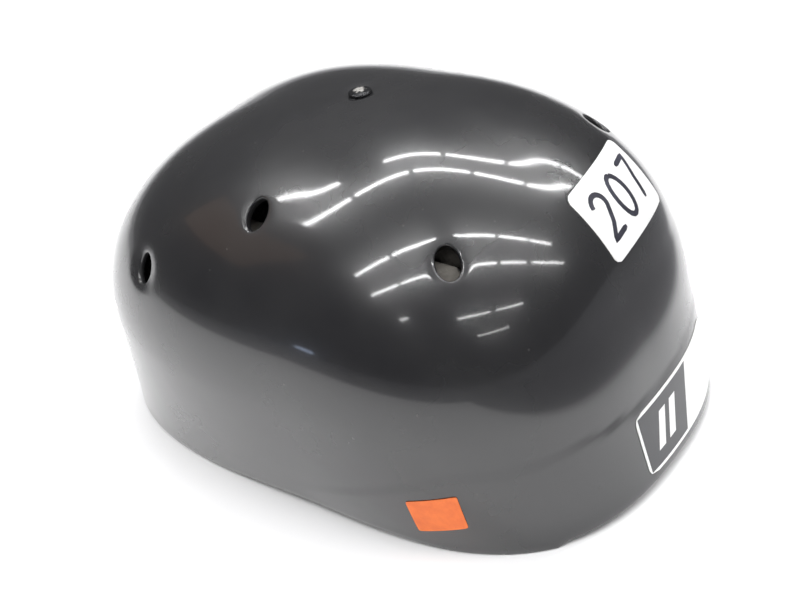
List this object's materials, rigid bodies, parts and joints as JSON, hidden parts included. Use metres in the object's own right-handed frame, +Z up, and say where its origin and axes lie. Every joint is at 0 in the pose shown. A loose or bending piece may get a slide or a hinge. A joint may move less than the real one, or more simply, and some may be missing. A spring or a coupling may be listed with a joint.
{
  "type": "catcher-style skull-cap helmet",
  "caption": "Deep glossy moulded skull-cap helmet with oval vents, a flared brow and ear skirt, foam liner blocks and soft fabric pads.",
  "frame": {"origin": "on the plane the rim stands on, under the middle of the overall box", "axes": "+Z up to the crown, -Y towards the brow, +X towards the wearer's left"},
  "size_m": [0.188, 0.2662, 0.1444],
  "materials": {
    "shell_plastic": "glossy moulded black, lightly rubbed",
    "rivet_metal": "black enamel, worn bright on top",
    "washer_steel": "zinc plated",
    "impact_foam": "closed-cell foam with a fine skin",
    "hook_patch": "woven hook tape",
    "pad_fabric": "knitted spacer fabric over soft foam",
    "label_vinyl": "printed vinyl, plain shapes",
    "white_paper": "coated paper",
    "orange_paper": "matt fluorescent paper",
    "size_vinyl": "satin woven label"
  },
  "bodies": {
    "root": {"shell": "shell_plastic", "crown_rivet": "rivet_metal", "crown_washer": "washer_steel", "brow_foam": "impact_foam", "brow_patches": "hook_patch", "brow_comfort_pad": "pad_fabric", "rear_foam": "impact_foam", "rear_patches": "hook_patch", "rear_comfort_pad": "pad_fabric", "left_side_foam": "impact_foam", "left_side_patches": "hook_patch", "left_side_comfort_pad": "pad_fabric", "right_side_foam": "impact_foam", "right_side_patches": "hook_patch", "right_side_comfort_pad": "pad_fabric", "crown_front_foam": "impact_foam", "crown_front_patches": "hook_patch", "crown_front_comfort_pad": "pad_fabric", "crown_rear_foam": "impact_foam", "crown_rear_patches": "hook_patch", "crown_rear_comfort_pad": "pad_fabric", "brow_label": "label_vinyl", "number_sticker": "white_paper", "price_sticker": "orange_paper", "size_label": "size_vinyl"}
  },
  "joints": []
}
